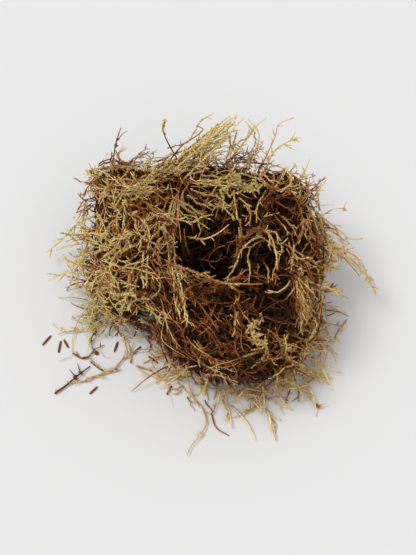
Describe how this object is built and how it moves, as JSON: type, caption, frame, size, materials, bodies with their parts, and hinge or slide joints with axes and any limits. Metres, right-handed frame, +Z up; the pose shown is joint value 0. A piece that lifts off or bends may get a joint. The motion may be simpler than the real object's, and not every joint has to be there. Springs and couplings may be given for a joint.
{
  "type": "moss clump",
  "caption": "Loose clump of dried feather moss: a matted mound of shoots with a nest-like hollow, stray shoots around it and a little litter.",
  "frame": {"origin": "on the flat underside that the clump rests on, below the middle of the mound", "axes": "+Z up, -Y towards the viewer of the picture, +X to the viewer's right"},
  "size_m": [0.2115, 0.2175, 0.0983],
  "materials": {
    "matted_moss": "dry, matt, fibrous, brown with tan and olive strands",
    "olive_moss": "dry, matt, scaly leaves, olive tan with yellow-green tips",
    "tan_moss": "dry, matt, scaly leaves, tan",
    "red_brown_stem": "bare wiry stem, slightly glossy red-brown",
    "bark": "rough dark bark",
    "needle": "smooth dry needle, dark red-brown"
  },
  "bodies": {
    "root": {"bark_twig": "bark", "bridging_shoot": "tan_moss", "brown_stalk": "red_brown_stem", "bud_trailer": "olive_moss", "crossing_shoot": "olive_moss", "fan_shoot_1": "tan_moss", "fan_shoot_2": "tan_moss", "fan_shoot_3": "tan_moss", "fan_shoot_4": "tan_moss", "fan_shoot_5": "tan_moss", "forked_bud_twig": "red_brown_stem", "front_left_shoot": "olive_moss", "front_middle_shoot_1": "olive_moss", "front_middle_shoot_2": "olive_moss", "front_middle_shoot_3": "olive_moss", "front_right_trailer": "olive_moss", "front_trailer": "olive_moss", "green_red_shoot": "olive_moss", "ground_left_shoot": "olive_moss", "hanging_root": "tan_moss", "headed_shoot": "olive_moss", "hollow_rim_shoot": "tan_moss", "hollow_side_shoot": "tan_moss", "hooked_shoot": "red_brown_stem", "left_feather_shoot": "olive_moss", "left_long_shoot": "olive_moss", "left_low_shoot": "olive_moss", "left_side_shoot": "olive_moss", "left_upper_feather_shoot": "olive_moss", "litter_shoot_1": "olive_moss", "litter_shoot_2": "olive_moss", "lower_right_shoot_1": "tan_moss", "lower_right_shoot_2": "tan_moss", "lower_right_shoot_3": "tan_moss", "lower_right_shoot_4": "olive_moss", "moss_mound": "matted_moss", "needle_1": "needle", "needle_10": "needle", "needle_2": "needle", "needle_3": "needle", "needle_4": "needle", "needle_5": "needle", "needle_6": "needle", "needle_7": "needle", "needle_8": "needle", "needle_9": "needle", "plume_shoot_1": "olive_moss", "plume_shoot_2": "olive_moss", "plume_shoot_3": "olive_moss", "rear_curl_shoot": "olive_moss", "rear_forked_shoot": "olive_moss", "rear_leaning_shoot": "olive_moss", "right_rim_shoot": "olive_moss", "seed": "needle", "seed_stalk": "red_brown_stem", "star_tuft_shoot": "olive_moss", "upper_right_fork": "olive_moss", "upper_right_shoot": "olive_moss"}
  },
  "joints": []
}
